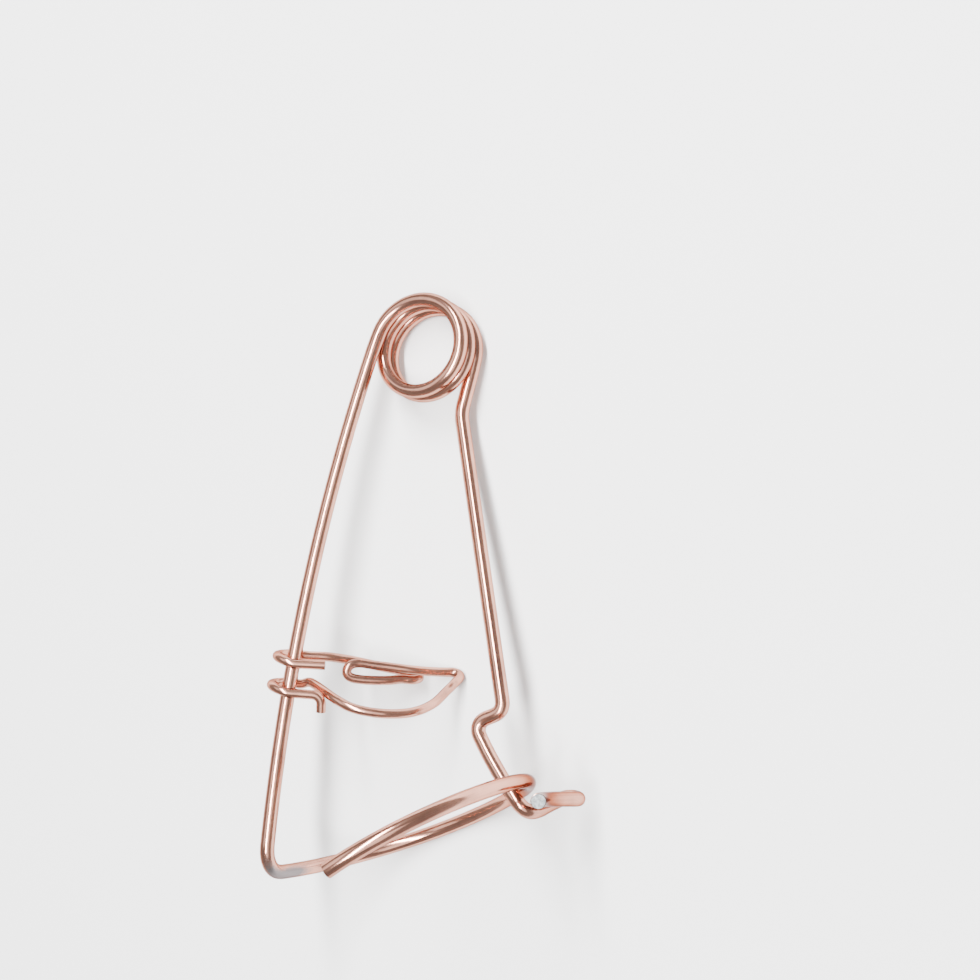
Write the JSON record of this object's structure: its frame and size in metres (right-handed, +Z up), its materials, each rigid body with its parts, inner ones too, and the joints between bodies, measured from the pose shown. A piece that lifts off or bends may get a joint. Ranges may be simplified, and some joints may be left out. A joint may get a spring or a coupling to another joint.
{
  "type": "wire mole trap",
  "caption": "Scissor-type mole trap bent from sprung copper-plated wire: a ring on one arm of a coil spring, a clawed bar on the other, and a sliding wire trigger.",
  "frame": {"origin": "middle of the bounding box's base, on the ground that the released trap lies on", "axes": "+Z up from the ground, -Y towards the ring, +Y towards the coil, +X across to the side of the claw arm"},
  "size_m": [0.0778, 0.1434, 0.0738],
  "materials": {
    "spring_wire": "bright copper plating on drawn spring steel",
    "trigger_wire": "bright copper plating on drawn steel"
  },
  "bodies": {
    "frame_wire": {"trap_ring": "spring_wire", "ring_arm": "spring_wire", "spring_coil": "spring_wire"},
    "claw": {"claw_arm": "spring_wire", "catch_step": "spring_wire", "claw_bar": "spring_wire"},
    "eyelets": {"upper_eyelet": "trigger_wire", "lower_eyelet": "trigger_wire"},
    "trigger": {"trigger_tongue": "trigger_wire", "trigger_loop": "trigger_wire"}
  },
  "joints": [
    {"name": "claw_squeeze", "type": "hinge", "parent": "frame_wire", "child": "claw", "pos_m": [-0.00629, 0.05797, 0.00795], "axis": [0.0769, -0.1954, -0.9777], "range_deg": [0, 10], "stiffness_Nm_per_rad": 7.7, "springref_deg": -6.88, "deforming": ["spring_coil"]},
    {"name": "trigger_slide", "type": "slide", "parent": "frame_wire", "child": "eyelets", "axis": [0.108, 0.9765, -0.1866], "range_m": [-0.006, 0.028]},
    {"name": "trigger_swing", "type": "hinge", "parent": "eyelets", "child": "trigger", "pos_m": [-0.03275, -0.02193, 0.02708], "axis": [0.108, 0.9765, -0.1866], "range_deg": [-2, 35], "deforming": ["upper_eyelet", "lower_eyelet"]}
  ]
}
